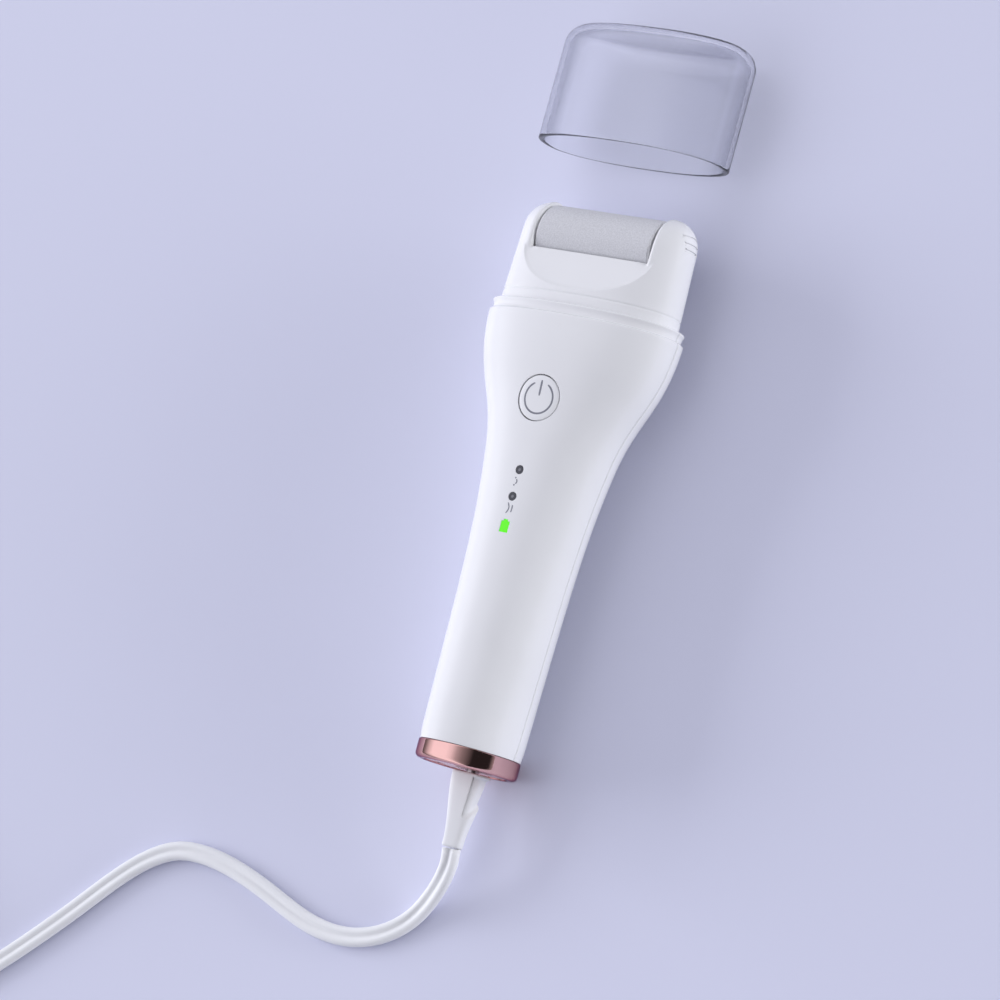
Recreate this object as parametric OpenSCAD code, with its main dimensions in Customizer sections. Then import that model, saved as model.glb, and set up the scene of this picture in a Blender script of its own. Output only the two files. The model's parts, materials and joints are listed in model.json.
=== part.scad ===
// Electric callus remover with a clear cap, a cord with a charging plug and a USB plug.
// Every piece is drawn on an upright device: X across, -Y the front, Z from the base up.
// lying() then lays it on its back: +X across, +Y towards the head, +Z out of the front.

/* [Body] */
// Radius of the round base
grip_r = 14.1; // [13.6:0.1:14.4]
// Half of the width at the shoulder
shoulder_w = 29.3; // [29:0.1:29.8]
// Height of the shoulder's edge above the base
shoulder_z = 123.5; // [123:0.1:124]
// Depth from the centre to the front at the shoulder
shoulder_front = 15.4; // [15.2:0.1:15.8]
// Wall thickness of the two shells
wall = 1.8; // [1.6:0.1:2]

/* [Head and roller] */
// Height of the roller's axis above the base
roller_z = 147.3; // [147.2:0.1:147.5]
// Diameter of the abrasive roller
roller_d = 18; // [17.4:0.1:18.2]
// Length of the roller between its two outer end faces
roller_l = 36; // [35.6:0.1:36.2]
// Width of the gap between the two ears
opening_w = 36.8; // [36.8:0.1:37]

/* [Controls] */
// Height of the power button's centre
button_z = 100.4; // [99:0.1:101]
// Diameter of the power button
button_d = 12.4; // [11:0.1:12.8]
// Travel of the power button
button_travel = 0.4; // [0.3:0.05:0.5]

/* [Cap] */
// Height of the clear cap
cap_h = 34; // [33.6:0.1:36]
// Wall thickness of the clear cap
cap_wall = 1.6; // [1.2:0.1:1.6]
// How far the cap stands off its seat
cap_off = 46; // [40:1:60]

/* [Cord] */
// Width of the flat twin cord, which is twice its thickness
cord_w = 5.4; // [5:0.2:6]
// Radius at the middle of the coil's turns
coil_r = 30; // [28:0.5:32]

/* [Hidden] */

$fn = 64;
rim_z = shoulder_z + 3.5;              // top of the shells, where the collar stands
rim_w = shoulder_w - 0.4;              // half width at the rim
rim_front = shoulder_front - 0.3;      // front depth at the rim
rim_rear = grip_r - 0.3;               // rear depth at the rim
ring_h = 5.2;                          // height of the base ring
full = 2.3;                            // how full the shoulder's section is, 2 is an ellipse
ear_x = opening_w / 2;                 // inner face of each ear
head_top = roller_z + 9.7;             // top of the ears
edge_z = roller_z - 5;                 // straight lower edge of the roller's opening
cap_z = rim_z + 0.1 + cap_off;         // open end of the cap
mid_y = (cap_z + cap_h) / 2;           // middle of the whole length
socket_y = 4;                          // the charging socket is behind the centre
plug_l = 20.5;                         // length of the plug's moulded body
board_y = -9;                          // front face of the control board
cell_y = 2;                            // the battery is a little behind the centre
cell_r = 7;                            // radius of the battery
gear_m = 0.5;                          // module of the gears
gear_x = ear_x + 2.3;                  // near face of the gears
gear_t = 1.8;                          // thickness of the gears
axle_r = 1.5;                          // radius of the roller's axle
shaft_r = 1;                           // radius of the motor's shaft and the idlers' pins
run = 0.03;                            // radial clearance of a running fit
drive_teeth = 20;                      // teeth of the roller's gear
upper_teeth = 22;                      // teeth of the upper idler
lower_teeth = 26;                      // teeth of the lower idler
pinion_teeth = 12;                     // teeth of the motor's pinion
upper_z = roller_z - (drive_teeth + upper_teeth) * gear_m / 2;
lower_z = upper_z - (upper_teeth + lower_teeth) * gear_m / 2;
motor_z = lower_z - (lower_teeth + pinion_teeth) * gear_m / 2;
lens_z = [80.4, 73, 64.8];             // heights of the two round lenses and the battery lens
boss_at = [[-5.2, 60], [5.2, 60], [-5.2, 88.5], [5.2, 88.5]];
coil_at = [-195, -187];                // centre of the coil on the table
coil_band = 8;                         // half of the coil's radial width
coil_h = 5.6;                          // height of the coil

// Route of the cord in the lying frame, from the plug to the coil
cord_route = [[0, -124.6, 10.1], [0, -128.4, 9.4], [-1.6, -132.5, 7.6], [-4.6, -137, 5],
    [-8, -141.3, 2.8], [-11.4, -145.2, 1.7], [-15.5, -148.8, 1.4], [-20.3, -151.7, 1.4],
    [-25.5, -153.6, 1.4], [-30.5, -154.5, 1.4], [-36, -154.6, 1.4], [-42, -153.8, 1.4],
    [-48, -152.2, 1.4], [-54, -150.1, 1.4], [-61, -147.6, 1.4], [-69, -145.2, 1.4],
    [-77, -143.5, 1.4], [-84.5, -142.9, 1.4], [-91, -143.5, 1.4], [-97, -145.8, 1.4],
    [-103, -149.7, 1.4], [-108.5, -154.5, 1.4], [-114, -160, 1.4], [-121, -167.4, 1.4],
    [-129, -175.4, 1.4], [-138, -184, 1.4], [-147.4, -192.3, 1.4], [-156.8, -200.4, 1.4]];
// Route of the cord's last stretch, from the coil to the USB plug
tail_route = [[-229.3, -163.5, 3.3], [-231, -158, 2.6], [-233.3, -152.5, 2.5],
    [-235.2, -147, 3.1], [-236, -142.5, 4]];
usb_at = [-236, -142, 4];              // where the cord enters the USB plug

// ---------- shared shapes ----------

module lying() {
    translate([0, -mid_y, grip_r]) rotate([-90, 0, 0]) children();
}

// Cylinder along X from x0 to x1
module across(x0, x1, y, z, r) {
    translate([x0, y, z]) rotate([0, 90, 0]) cylinder(h = x1 - x0, r = r);
}

// Cylinder along Y from y0 to y1
module into(x, z, y0, y1, r) {
    translate([x, y0, z]) rotate([-90, 0, 0]) cylinder(h = y1 - y0, r = r);
}

// Block given by its lowest and highest corners
module block(low, high) {
    translate(low) cube(high - low);
}

function sgnpow(v, e) = sign(v) * pow(abs(v), e);

// Closed section at height z: half width a, front depth f, rear depth r, fullness n
function section(a, f, r, n, z, k = 40) = [for (i = [0 : k - 1])
    let (s = sgnpow(sin(360 * i / k), 2 / n))
    [a * sgnpow(cos(360 * i / k), 2 / n), -(s > 0 ? f : r) * s, z]];

// Half section of a shell on side s: the outer arc, then the inner arc back
function half_arc(s, a, f, n, z, k) = [for (i = [0 : k])
    [s * a * sgnpow(cos(180 * i / k), 2 / n), -s * f * pow(max(sin(180 * i / k), 0), 2 / n), z]];
function half_ring(s, a, f, n, z, t, k = 16) = let (inner = half_arc(s, a - t, f - t, n, z, k))
    concat(half_arc(s, a, f, n, z, k), [for (i = [k : -1 : 0]) inner[i]]);

// Solid skin through a list of rings that have the same number of points
module loft(rings) {
    k = len(rings[0]);
    last = len(rings) - 1;
    sides = [for (j = [0 : last - 1], i = [0 : k - 1])
        let (p = j * k + i, q = j * k + (i + 1) % k)
        each [[p, q, q + k], [p, q + k, p + k]]];
    polyhedron([for (r = rings) each r], concat(
        [[for (i = [k - 1 : -1 : 0]) i]], sides, [[for (i = [0 : k - 1]) last * k + i]]));
}

function bezier(p, t) = pow(1 - t, 3) * p[0] + 3 * pow(1 - t, 2) * t * p[1]
    + 3 * (1 - t) * t * t * p[2] + pow(t, 3) * p[3];
function ease(t) = let (u = min(max(t, 0), 1)) u * u * (3 - 2 * u);

// Screw along +Z from its head's top at z = 0, with a cross recess
module screw(head_r, head_h, r, l) {
    difference() {
        union() {
            cylinder(h = head_h, r = head_r);
            cylinder(h = head_h + l, r = r);
        }
        for (a = [0, 90]) rotate(a)
            translate([-head_r * 0.6, -head_r * 0.15, -1]) cube([head_r * 1.2, head_r * 0.3, 1.4]);
    }
}

// ---------- body shells ----------

grip_curve = [[grip_r, ring_h], [grip_r + 1.3, 40], [grip_r + 0.9, 63], [grip_r + 4.8, 86.7]];
flare_curve = [grip_curve[3], grip_curve[3] + [2.6, 15.8],
    [shoulder_w - 1.1, shoulder_z - 18.6], [shoulder_w, shoulder_z]];
body_line = concat([for (i = [0 : 6]) bezier(grip_curve, i / 7)],
    [for (i = [0 : 11]) bezier(flare_curve, i / 11)]);

function waist(z) = 0.6 * max(sin(180 * min(max((z - ring_h) / 105, 0), 1)), 0);
function front_depth(z) = grip_r - waist(z) + (shoulder_front - grip_r) * ease((z - 95) / 25);
function rear_depth(z) = grip_r - waist(z);
function fullness(z) = 2 + (full - 2) * ease((z - 60) / 60);

// Half shell with a thicker rim, in front for s = 1 and behind for s = -1
module half_shell(s) {
    rim = s > 0 ? rim_front : rim_rear;
    loft(concat(
        [for (p = body_line) half_ring(s, p[0], s > 0 ? front_depth(p[1]) : rear_depth(p[1]),
            fullness(p[1]), p[1], wall)],
        [for (z = [rim_z - 1.8, rim_z])
            half_ring(s, rim_w + 0.1 * (rim_z - z), rim + 0.08 * (rim_z - z), full, z, 2.2)]));
}

// Room that the lower idler needs inside the flange and the collar
module gear_room() {
    across(ear_x + 2.1, ear_x + 4.7, 0, lower_z, lower_teeth * gear_m / 2 + 0.8);
}

module front_shell() {
    color("white") lying() difference() {
        union() {
            half_shell(1);
            for (b = boss_at) into(b[0], b[1], -11.8, board_y, 2);
        }
        into(0, button_z, -20, -10, button_d / 2 + 0.25);
        for (z = [lens_z[0], lens_z[1]]) into(0, z, -20, -10, 1.2);
        translate([0, -10, lens_z[2]]) rotate([90, 0, 0]) linear_extrude(10) battery_outline(0.05);
        for (b = boss_at) into(b[0], b[1], -11.4, board_y + 1, 0.75);
    }
}

module rear_shell() {
    color("white") lying() half_shell(-1);
}

// ---------- base ----------

module base_ring() {
    color("rosybrown") lying() rotate_extrude() difference() {
        union() {
            translate([11.4, 0]) square([grip_r - 12.9, ring_h]);
            translate([11.4, 1.5]) square([grip_r - 11.4, ring_h - 1.5]);
            translate([grip_r - 1.5, 1.5]) circle(1.5);
        }
        square([11.4, ring_h]);
        translate([0, 1.2]) square([12.4, ring_h]);
        translate([0, 3.8]) square([12.9, ring_h]);
    }
}

module base_plate() {
    color("rosybrown") lying() difference() {
        union() {
            translate([0, 0, 0.3]) cylinder(h = 0.9, r = 11.4);
            translate([0, 0, 1.2]) cylinder(h = 1, r = 12.4);
        }
        for (x = [-8.3, 8.3]) translate([x, 0, -1]) cylinder(h = 5, r = 0.9);
        for (x = [-8.3, 8.3]) translate([x, 0, -1]) cylinder(h = 2.3, r = 1.6);
        translate([0, -3, -1]) cylinder(h = 2.1, r = 0.6);
        translate([0, socket_y, -1]) cylinder(h = 5, r = 2.2);
    }
}

module base_seal() {
    color("dimgray") lying() rotate_extrude() translate([12.25, 4.45]) circle(0.6);
}

module base_screws() {
    color("silver") lying() for (x = [-8.3, 8.3]) translate([x, 0, 0.5]) screw(1.5, 0.8, 0.85, 6);
}

// Block with the round socket and its bracket, between the two columns that the base screws bite into
module charge_socket() {
    color("#222222") lying() difference() {
        union() {
            block([-4.3, socket_y - 4.3, 2.25], [4.3, socket_y + 4.3, 13.2]);
            block([-10.2, -2, 2.25], [10.2, 2, 4.4]);
            for (x = [-8.3, 8.3]) translate([x, 0, 2.25]) cylinder(h = 6.2, r = 1.9);
        }
        translate([0, socket_y, 0]) cylinder(h = 11.6, r = 1.85);
        translate([0, socket_y, 0]) cylinder(h = 14, r = 0.6);
        for (x = [-8.3, 8.3]) translate([x, 0, 1]) cylinder(h = 6.8, r = 0.85);
    }
}

module socket_pin() {
    color("gold") lying() translate([0, socket_y, 0]) {
        translate([0, 0, 2.6]) cylinder(h = 12.6, r = 0.6);
        translate([0, 0, 2.6]) sphere(0.6);
    }
}

// ---------- controls ----------

module battery_outline(grow) {
    translate([-1.25 - grow, -1.7 - grow]) square([2.5 + 2 * grow, 3 + 2 * grow]);
    translate([-0.6 - grow, 1.2]) square([1.2 + 2 * grow, 0.6 + grow]);
}

module power_button() {
    color("white") lying() {
        into(0, button_z, -front_depth(button_z), -11.4, button_d / 2);
        into(0, button_z, -11.5, -10.9, 7);
    }
}

module switch_plunger() {
    color("#333333") lying() into(0, button_z, -10.9, -9.9, 1.7);
}

module tact_switch() {
    color("silver") lying() difference() {
        block([-3, -10.4, button_z - 3], [3, board_y, button_z + 3]);
        into(0, button_z, -11, -9.3, 1.75);
    }
}

module button_guide() {
    color("whitesmoke") lying() difference() {
        into(0, button_z, -11.3, board_y, 8.5);
        into(0, button_z, -12, -8, 7.3);
    }
}

module control_board() {
    color("darkgreen") lying() difference() {
        block([-7.2, board_y, 57], [7.2, board_y + 0.8, 103.5]);
        for (b = boss_at) into(b[0], b[1], -10, -7, 0.9);
    }
}

module board_screws() {
    color("silver") lying() for (b = boss_at)
        translate([b[0], board_y + 1.6, b[1]]) rotate([90, 0, 0]) screw(1.5, 0.8, 0.75, 2.6);
}

module indicator_leds() {
    color("lightyellow") lying() for (z = lens_z)
        block([-0.8, board_y - 0.7, z - 0.5], [0.8, board_y, z + 0.5]);
}

module light_guides() {
    color("whitesmoke") lying() for (z = lens_z) into(0, z, -11.6, board_y - 0.75, 1);
}

module round_lens(z) {
    color("dimgray") lying() into(0, z, -front_depth(z), -11.6, 1.15);
}

module speed_lens_high() {
    round_lens(lens_z[0]);
}

module speed_lens_low() {
    round_lens(lens_z[1]);
}

module battery_lens() {
    color("limegreen") lying() translate([0, -11.6, lens_z[2]]) rotate([90, 0, 0])
        linear_extrude(front_depth(lens_z[2]) - 11.6) battery_outline(0);
}

// ---------- battery ----------

module battery_cell() {
    color("royalblue") lying() translate([0, cell_y, 16]) {
        cylinder(h = 49, r = cell_r);
        cylinder(h = 50, r = 2.6);
    }
}

module battery_tabs() {
    color("silver") lying() for (z = [15.8, 66])
        block([-2.5, -6.7, z], [2.5, cell_y + 4, z + 0.2]);
}

module battery_tray() {
    color("gainsboro") lying() difference() {
        translate([0, cell_y, 14.6]) cylinder(h = 54, r = cell_r + 1.7);
        translate([0, cell_y, 15.6]) cylinder(h = 51, r = cell_r + 0.05);
        block([-12, -12, 14], [12, -0.5, 69]);
        block([-3.2, -1, 14], [3.2, cell_y + 4.2, 69]);
    }
}

// ---------- motor and gears ----------

module motor_can() {
    color("silver") lying() difference() {
        intersection() {
            across(-12, 11.5, 0, motor_z, 10);
            block([-20, -7.7, motor_z - 11], [20, 7.7, motor_z + 11]);
        }
        across(-11, 10.7, 0, motor_z, 7.4);
        across(-13, -10, 0, motor_z, 7.4);
        across(10, 12, 0, motor_z, 1.6);
        for (y = [-6, 6]) across(9, 12, y, motor_z, 0.8);
    }
}

module motor_end_bell() {
    color("white") lying() difference() {
        union() {
            across(-13.2, -12, 0, motor_z, 7.3);
            across(-12, -9.6, 0, motor_z, 7.4);
        }
        across(-11, -9, 0, motor_z, shaft_r + 0.1);
        for (y = [-4.5, 4.5]) block([-14, y - 0.8, motor_z - 0.2], [-9, y + 0.8, motor_z + 0.2]);
    }
}

module motor_terminals() {
    color("gold") lying() for (y = [-4.5, 4.5])
        block([-15.6, y - 0.8, motor_z - 0.2], [-9.6, y + 0.8, motor_z + 0.2]);
}

module motor_shaft() {
    color("silver") lying() {
        across(-10.8, gear_x + gear_t, 0, motor_z, shaft_r);
        across(-8.5, 9, 0, motor_z, 6.4);
    }
}

function inv(a) = tan(a) * 180 / PI - a;
// Half of a tooth's angle at radius r on a gear of n teeth with pitch radius rp
function tooth_half(n, r, rp) = 90 / n * 0.9 + inv(20) - inv(acos(min(rp * cos(20) / r, 1)));
function gear_outline(n) = let (rp = n * gear_m / 2, m = gear_m,
    steps = [rp - 1.15 * m, rp - 0.4 * m, rp + 0.25 * m, rp + 0.85 * m])
    [for (k = [0 : n - 1], i = [0 : 7])
        let (r = steps[i < 4 ? i : 7 - i],
            a = 360 * k / n + (i < 4 ? -1 : 1) * tooth_half(n, r, rp))
        [r * cos(a), r * sin(a)]];

// Gear on the X axis; a half pitch turns its gaps to where the next gear has teeth
module gear(n, z, bore, half_pitch) {
    translate([gear_x, 0, z]) rotate([0, 90, 0]) difference() {
        rotate(half_pitch ? 180 / n : 0) linear_extrude(gear_t) polygon(gear_outline(n));
        translate([0, 0, -1]) cylinder(h = gear_t + 2, r = bore);
    }
}

module motor_pinion() {
    color("gold") lying() gear(pinion_teeth, motor_z, shaft_r, true);
}

module lower_idler_gear() {
    color("ivory") lying() gear(lower_teeth, lower_z, shaft_r + run, false);
}

module upper_idler_gear() {
    color("ivory") lying() gear(upper_teeth, upper_z, shaft_r + run, true);
}

module roller_drive_gear() {
    color("ivory") lying() gear(drive_teeth, roller_z, axle_r, false);
}

module motor_spacers() {
    color("silver") lying() for (y = [-6, 6]) difference() {
        across(11.5, ear_x + 1.3, y, motor_z, 1.6);
        across(11, ear_x + 2, y, motor_z, 0.85);
    }
}

module motor_screws() {
    color("silver") lying() for (y = [-6, 6])
        translate([ear_x + 3.1, y, motor_z]) rotate([0, -90, 0]) screw(1.6, 0.9, 0.8, 9);
}

// Steel plate that carries the motor, the idlers' pins and the axle's bush
module gear_plate() {
    color("lightgray") lying() difference() {
        union() {
            block([ear_x + 1.3, -7.4, motor_z - 5], [ear_x + 2.1, 7.4, motor_z + 3.5]);
            block([ear_x + 1.3, -5.6, motor_z], [ear_x + 2.1, 5.6, roller_z]);
            across(ear_x + 1.3, ear_x + 2.1, 0, roller_z, 5.6);
        }
        across(ear_x, ear_x + 3, 0, roller_z, 2.4);
        across(ear_x, ear_x + 3, 0, motor_z, 2.5);
        for (z = [upper_z, lower_z]) across(ear_x, ear_x + 3, 0, z, shaft_r);
        for (y = [-6, 6]) across(ear_x, ear_x + 3, y, motor_z, 0.85);
    }
}

module idler_pins() {
    color("silver") lying() for (z = [upper_z, lower_z])
        across(ear_x + 1.3, gear_x + gear_t + 0.6, 0, z, shaft_r);
}

module idler_clips() {
    color("dimgray") lying() for (z = [upper_z, lower_z]) difference() {
        across(gear_x + gear_t + 0.15, gear_x + gear_t + 0.45, 0, z, 2);
        across(gear_x, gear_x + gear_t + 1, 0, z, shaft_r);
        translate([gear_x, -0.6, z]) cube([4, 1.2, 3]);
    }
}

// ---------- roller ----------

module roller_axle() {
    color("silver") lying() across(-ear_x - 3.4, ear_x + 6.5, 0, roller_z, axle_r);
}

module roller_core() {
    color("slategray") lying() difference() {
        across(-roller_l / 2 + 1.2, roller_l / 2 - 1.2, 0, roller_z, roller_d / 2 - 1.4);
        across(-roller_l, roller_l, 0, roller_z, axle_r);
    }
}

module abrasive_sleeve() {
    color("silver") lying() difference() {
        across(-roller_l / 2 + 0.4, roller_l / 2 - 0.4, 0, roller_z, roller_d / 2);
        across(-roller_l, roller_l, 0, roller_z, roller_d / 2 - 1.4);
    }
}

module roller_end_caps() {
    color("gainsboro") lying() for (s = [-1, 1]) difference() {
        scale([s, 1, 1]) union() {
            across(roller_l / 2 - 1.2, roller_l / 2 - 0.2, 0, roller_z, roller_d / 2 - 1.4);
            across(roller_l / 2 - 0.4, roller_l / 2, 0, roller_z, roller_d / 2 - 0.15);
        }
        across(-roller_l, roller_l, 0, roller_z, axle_r);
    }
}

module dust_washers() {
    color("dimgray") lying() for (x = [-ear_x, ear_x - 0.25]) difference() {
        across(x, x + 0.25, 0, roller_z, 3.6);
        across(x - 1, x + 2, 0, roller_z, axle_r + 0.1);
    }
}

module axle_bushes() {
    color("peru") lying() difference() {
        union() {
            across(-ear_x - 1.2, -ear_x, 0, roller_z, 2.4);
            across(-ear_x - 2, -ear_x - 1.2, 0, roller_z, 3.2);
            across(ear_x, ear_x + 2.2, 0, roller_z, 2.4);
            across(ear_x + 5.2, ear_x + 6.6, 0, roller_z, 2.4);
        }
        across(-30, 30, 0, roller_z, axle_r + run);
    }
}

// ---------- head ----------

head_w = rim_w - cap_wall - 0.2;       // half width of the collar
head_front = rim_front - cap_wall - 0.2;
head_rear = rim_rear - cap_wall - 0.2;

function dome(z) = sqrt(1 - pow(min(max((z - roller_z) / 10.2, 0), 1), 2));
function head_ring(z) = let (u = min(max((z - head_top + 7) / 7.05, 0), 1))
    section(head_w - 0.035 * (z - rim_z) - 7 * (1 - sqrt(1 - u * u)),
        (head_front - 0.04 * (z - rim_z)) * dome(z), (head_rear - 0.02 * (z - rim_z)) * dome(z),
        full, z);

// Flat facet cut from the front or the back, down to the edge of the roller's opening
module facet(s) {
    lean = atan2(head_front - 0.2 - 8.9, edge_z - 131);
    scale([1, s, 1]) translate([-30, 8.9, edge_z]) rotate([lean, 0, 0])
        translate([0, 0, -30]) cube([60, 30, 30]);
}

module ear_room(x) {
    block([x, -6, rim_z - 6], [x + 3.6, 6, roller_z]);
    across(x, x + 3.6, 0, roller_z, 6);
}

module head_shell() {
    spigot_k = 32;
    color("white") lying() difference() {
        union() {
            loft([for (z = [rim_z, rim_z + 9, head_top - 9, head_top - 7, head_top - 5,
                head_top - 3.4, head_top - 2.1, head_top - 1.1, head_top - 0.4, head_top])
                head_ring(z)]);
            translate([0, 0, rim_z - 5]) linear_extrude(5.5)
                polygon([for (p = section(rim_w - 2.4, rim_front - 2.4, rim_rear - 2.4, full, 0,
                    spigot_k)) [p[0], p[1]]]);
        }
        translate([0, 0, rim_z - 6]) linear_extrude(14.5)
            polygon([for (p = section(rim_w - 4.2, rim_front - 4.2, rim_rear - 4.2, full, 0,
                spigot_k)) [p[0], p[1]]]);
        for (s = [-1, 1]) facet(s);
        block([-ear_x, -20, edge_z], [ear_x, 20, head_top + 5]);
        across(-ear_x, ear_x, 0, roller_z, roller_d / 2 + 0.5);
        ear_room(ear_x + 1.2);
        ear_room(-ear_x - 4.8);
        gear_room();
        across(-ear_x - 2, ear_x + 2, 0, roller_z, 2.4);
        across(ear_x + 4.7, ear_x + 6.7, 0, roller_z, 2.4);
    }
}

module collar_seal() {
    color("dimgray") lying() translate([0, 0, rim_z - 3.4]) linear_extrude(0.8) difference() {
        polygon([for (p = section(rim_w - 2.05, rim_front - 2.05, rim_rear - 2.05, full, 0, 32))
            [p[0], p[1]]]);
        polygon([for (p = section(rim_w - 2.4, rim_front - 2.4, rim_rear - 2.4, full, 0, 32))
            [p[0], p[1]]]);
    }
}

// ---------- leads ----------

// Points of a smooth curve through a route, with n steps between neighbours
function at(route, i) = route[min(max(i, 0), len(route) - 1)];
function blend(a, b, c, d, t) = 0.5 * (2 * b + (c - a) * t + (2 * a - 5 * b + 4 * c - d) * t * t
    + (3 * b - a - 3 * c + d) * pow(t, 3));
function smooth(route, n) = concat([for (i = [0 : len(route) - 2], j = [0 : n - 1])
    blend(at(route, i - 1), route[i], route[i + 1], at(route, i + 2), j / n)],
    [route[len(route) - 1]]);

// Lead of width w and thickness t swept along a route, its width square to the axis level
module swept(route, w, t, level) {
    pts = smooth(route, 2);
    last = len(pts) - 1;
    loft([for (i = [0 : last])
        let (d = pts[min(i + 1, last)] - pts[max(i - 1, 0)],
            side = cross(level, d) / norm(cross(level, d)),
            up = cross(d, side) / norm(cross(d, side)))
        [for (k = [0 : 7]) let (a = 22.5 - 45 * k)
            pts[i] + side * w / 2 * cos(a) / cos(22.5) + up * t / 2 * sin(a) / cos(22.5)]]);
}

module lead(route) {
    swept(route, 1.1, 1.1, [0, 1, 0]);
}

module motor_leads() {
    color("firebrick") lying() for (s = [-1, 1])
        lead([[-16.3, s * 4.5, motor_z], [-16.3, s * 4.5, 103], [-5, -6.9, 95 + s * 2.2]]);
}

module battery_leads() {
    color("black") lying() for (s = [-1, 1])
        lead([[s * 1.5, -7.3, s < 0 ? 16.2 : 66.6], [s * 1.5, -7.4, 70], [s * 2.5, -7.4, 76]]);
}

module charge_leads() {
    color("firebrick") lying() for (s = [-1, 1])
        lead([[s * 3, socket_y, 13.8], [s * 9, 1.5, 13.8], [s * 10.4, 0.4, 17], [s * 10.2, 0, 24],
            [s * 10.2, 0, 62], [s * 5.5, -7.4, 78]]);
}

// ---------- cap ----------

// Section of the cap at height h, set in from its outside, with corners of radius r below the top
function cap_ring(h, top, r, inset) = let (u = min(max((h - top + r) / r, 0), 1),
    in = inset + r * (1 - sqrt(1 - u * u)))
    section(rim_w - in, rim_front - in, rim_rear - in, full, cap_z + h, 32);

module cap() {
    top_r = 6;
    inner_top = cap_h - cap_wall;
    color("lightcyan", 0.4) lying() loft(concat(
        [for (a = [0 : 22.5 : 90]) cap_ring(inner_top - 4.6 * (1 - cos(a)), inner_top, 4.6, cap_wall)],
        [cap_ring(0, inner_top, 4.6, cap_wall)],
        [cap_ring(0, cap_h, top_r, 0)],
        [for (a = [0 : 22.5 : 90]) cap_ring(cap_h - top_r * (1 - sin(a)), cap_h, top_r, 0)]));
}

// ---------- charging plug and cord ----------

// Slab with round corners, w by d across and h high
module slab(w, d, h, r) {
    for (x = [-1, 1], y = [-1, 1]) translate([x * (w / 2 - r), y * (d / 2 - r), 0])
        cylinder(h = h, r = r, $fn = 20);
}

module plug_body() {
    color("white") lying() translate([0, socket_y, -0.3 - plug_l]) hull() {
        slab(5.8, 3.4, 0.5, 1);
        translate([0, 0, plug_l - 0.5]) slab(9.6, 5.8, 0.5, 1.4);
    }
}

module plug_barrel() {
    color("silver") lying() translate([0, socket_y, -0.3]) difference() {
        cylinder(h = 9.5, r = 1.75);
        translate([0, 0, -1]) cylinder(h = 12, r = 0.8);
    }
}

// Flat cord along a route, its broad side always level
module cord(route) {
    swept(route, cord_w, cord_w / 2, [0, 0, 1]);
}

module cord_tube() {
    color("white") cord(cord_route);
}

module cord_coil() {
    color("white") translate([coil_at[0], coil_at[1], 0]) rotate_extrude()
        translate([coil_r - coil_band, 0]) square([2 * coil_band, coil_h]);
}

module coil_tie() {
    color("white") translate([coil_at[0] - 3, coil_at[1] + coil_r, 0]) difference() {
        translate([0, -coil_band - 1.2, 0]) cube([6, 2 * coil_band + 2.4, coil_h + 0.9]);
        translate([-1, -coil_band - 0.3, -1]) cube([8, 2 * coil_band + 0.6, coil_h + 1.1]);
    }
}

module cord_tail() {
    color("white") cord(tail_route);
}

module usb_housing() {
    color("white") translate(usb_at) difference() {
        hull() {
            translate([0, 8, 0]) rotate([-90, 0, 0]) slab(15.6, 7.8, 22, 2);
            translate([0, 0, 0]) rotate([-90, 0, 0]) slab(6.4, 4, 0.5, 1.2);
        }
        translate([-6.05, 26, -2.3]) cube([12.1, 5, 4.6]);
    }
}

module usb_shell() {
    color("silver") translate(usb_at) difference() {
        translate([-6, 26, -2.25]) cube([12, 16, 4.5]);
        translate([-5.7, 27, -1.95]) cube([11.4, 16, 3.9]);
    }
}

module usb_tongue() {
    color("white") translate(usb_at) translate([-5.6, 27, -0.1]) cube([11.2, 14, 1.9]);
}

front_shell();
rear_shell();
base_ring();
base_plate();
base_seal();
base_screws();
charge_socket();
socket_pin();
power_button();
switch_plunger();
tact_switch();
button_guide();
control_board();
indicator_leds();
light_guides();
speed_lens_high();
speed_lens_low();
battery_lens();
board_screws();
battery_cell();
battery_tabs();
battery_tray();
motor_can();
motor_end_bell();
motor_terminals();
motor_shaft();
motor_pinion();
motor_spacers();
motor_screws();
gear_plate();
idler_pins();
idler_clips();
lower_idler_gear();
upper_idler_gear();
roller_drive_gear();
roller_axle();
axle_bushes();
dust_washers();
roller_core();
abrasive_sleeve();
roller_end_caps();
head_shell();
collar_seal();
motor_leads();
battery_leads();
charge_leads();
cap();
plug_body();
plug_barrel();
cord_tube();
cord_coil();
coil_tie();
cord_tail();
usb_housing();
usb_shell();
usb_tongue();
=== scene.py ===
"""Looks of an electric callus remover with a clear cap and a charging cord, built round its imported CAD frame.

Shapes are worked out in millimetres on an upright device: x across, y out of the back, z from the base up.
lay() turns such a point into the row frame, in metres, where the device lies on its back.
"""

import json
import math

import bmesh
import bpy
from mathutils import Matrix, Vector


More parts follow.
